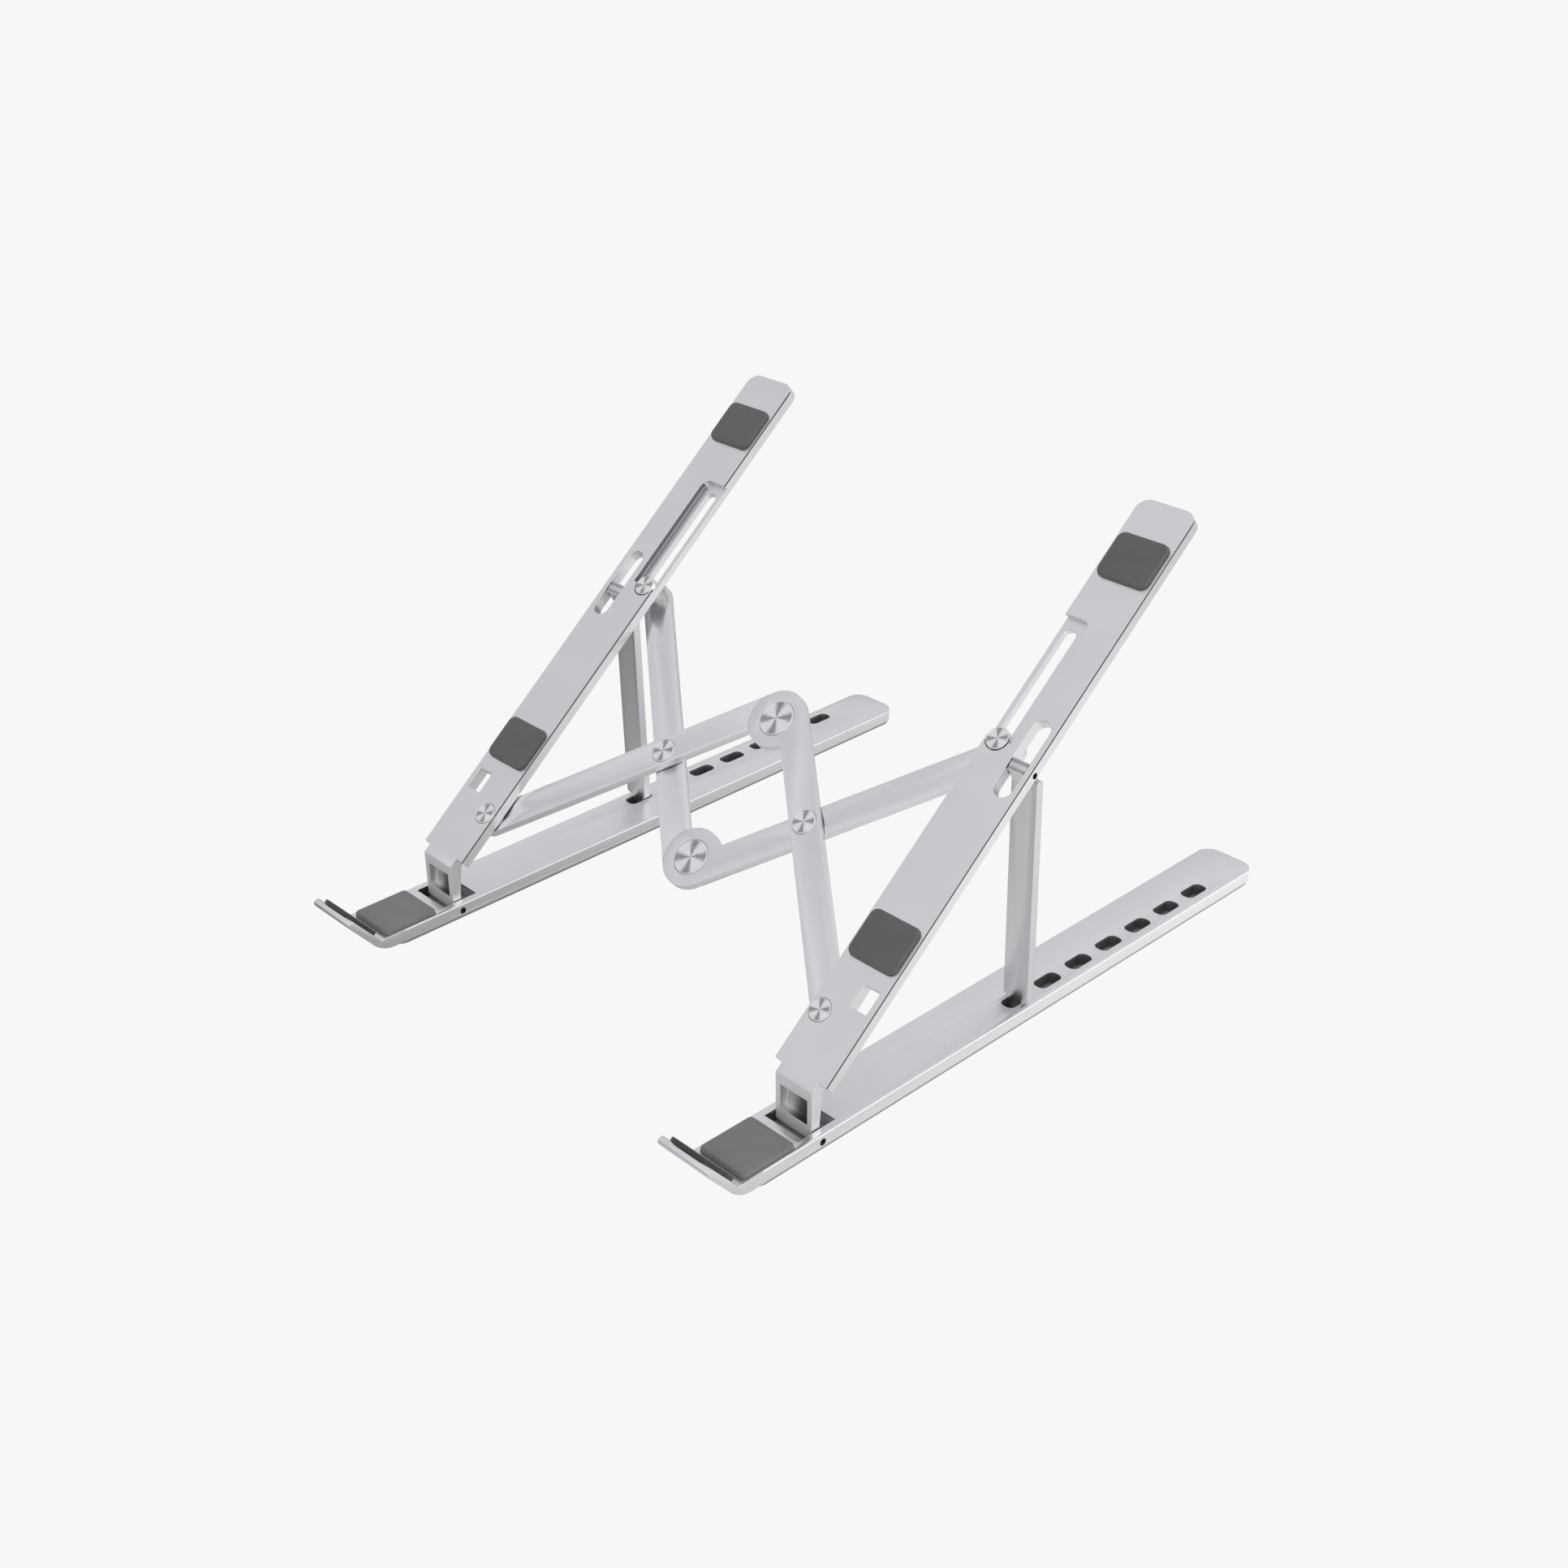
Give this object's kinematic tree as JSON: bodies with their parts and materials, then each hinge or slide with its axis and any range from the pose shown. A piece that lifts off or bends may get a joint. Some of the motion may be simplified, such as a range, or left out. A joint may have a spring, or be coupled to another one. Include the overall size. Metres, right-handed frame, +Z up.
{
  "type": "folding laptop stand",
  "caption": "Folding aluminium laptop stand: slotted rails with front hooks, hinged arms on props, and a scissor linkage that closes it to a slim bar.",
  "frame": {"origin": "on the desk, in the middle of the footprint of the open stand", "axes": "+Z up from the desk, +Y from the front hooks to the rear ends of the rails, +X to the right seen from the front hooks"},
  "size_m": [0.1858, 0.2474, 0.1458],
  "materials": {
    "alloy": "fine matt anodised",
    "steel": "turned and polished",
    "rubber": "matt silicone"
  },
  "bodies": {
    "base_right": {"base_rail_right": "alloy", "antislip_strip_right": "rubber", "ledge_pad_right": "rubber", "hook_liner_right": "rubber", "hinge_pin_right": "steel"},
    "arm_assembly_right": {"arm_right": "alloy", "upper_pad_right": "rubber", "lower_pad_right": "rubber", "prop_pin_right": "steel", "pivot_rivet_right": "steel", "pivot_washer_right": "steel"},
    "prop_assembly_right": {"prop_right": "alloy"},
    "base_left": {"base_rail_left": "alloy", "antislip_strip_left": "rubber", "ledge_pad_left": "rubber", "hook_liner_left": "rubber", "hinge_pin_left": "steel"},
    "arm_assembly_left": {"arm_left": "alloy", "upper_pad_left": "rubber", "lower_pad_left": "rubber", "prop_pin_left": "steel", "pivot_rivet_left": "steel", "pivot_washer_left": "steel"},
    "prop_assembly_left": {"prop_left": "alloy"},
    "upper_link_right": {"link_upper_right": "alloy", "elbow_rivet_rear": "steel", "middle_rivet_right": "steel", "middle_washer_right": "steel"},
    "upper_link_left": {"link_upper_left": "alloy", "middle_rivet_left": "steel", "middle_washer_left": "steel"},
    "lower_link_right": {"link_lower_right": "alloy", "elbow_rivet_front": "steel", "slider_rivet_right": "steel", "slider_spacer_right": "steel"},
    "lower_link_left": {"link_lower_left": "alloy", "slider_rivet_left": "steel", "slider_spacer_left": "steel"}
  },
  "joints": [
    {"name": "arm_raise", "type": "hinge", "parent": "base_right", "child": "arm_assembly_right", "pos_m": [0.08288, -0.08145, 0.0029], "axis": [1, 0, 0], "range_deg": [0, 50]},
    {"name": "scissor_fold", "type": "hinge", "parent": "arm_assembly_right", "child": "upper_link_right", "pos_m": [0.07688, -0.06336, 0.02755], "axis": [0, 0.6428, -0.766], "range_deg": [0, 44.5]},
    {"name": "rear_elbow", "type": "hinge", "parent": "upper_link_right", "child": "upper_link_left", "pos_m": [0, -0.00889, 0.07325], "axis": [0, -0.6428, 0.766], "range_deg": [0, 89]},
    {"name": "left_front_pivot", "type": "hinge", "parent": "upper_link_left", "child": "arm_assembly_left", "pos_m": [-0.07688, -0.06336, 0.02755], "axis": [0, 0.6428, -0.766], "range_deg": [0, 44.5]},
    {"name": "right_link_crossing", "type": "hinge", "parent": "upper_link_right", "child": "lower_link_right", "pos_m": [0.0316, -0.0271, 0.05601], "axis": [0, -0.6428, 0.766], "range_deg": [0, 89]},
    {"name": "left_link_crossing", "type": "hinge", "parent": "upper_link_left", "child": "lower_link_left", "pos_m": [-0.0316, -0.0271, 0.05601], "axis": [0, 0.6428, -0.766], "range_deg": [0, 89]},
    {"name": "left_base_hinge", "type": "hinge", "parent": "arm_assembly_left", "child": "base_left", "pos_m": [-0.08288, -0.08145, 0.0029], "axis": [-1, 0, 0], "range_deg": [0, 50]},
    {"name": "prop_tuck_right", "type": "hinge", "parent": "arm_assembly_right", "child": "prop_assembly_right", "pos_m": [0.08288, 0.00134, 0.08594], "axis": [-1, 0, 0], "range_deg": [0, 51.76]},
    {"name": "prop_tuck_left", "type": "hinge", "parent": "arm_assembly_left", "child": "prop_assembly_left", "pos_m": [-0.08288, 0.00134, 0.08594], "axis": [-1, 0, 0], "range_deg": [0, 51.76]}
  ],
  "couplings": [
    {"joint": "rear_elbow", "follows": "scissor_fold", "ratio": 2},
    {"joint": "left_front_pivot", "follows": "scissor_fold", "ratio": 1},
    {"joint": "right_link_crossing", "follows": "scissor_fold", "ratio": 2},
    {"joint": "left_link_crossing", "follows": "scissor_fold", "ratio": 2},
    {"joint": "left_base_hinge", "follows": "arm_raise", "ratio": 1},
    {"joint": "prop_tuck_right", "follows": "arm_raise", "ratio": 1.035},
    {"joint": "prop_tuck_left", "follows": "arm_raise", "ratio": 1.035}
  ]
}
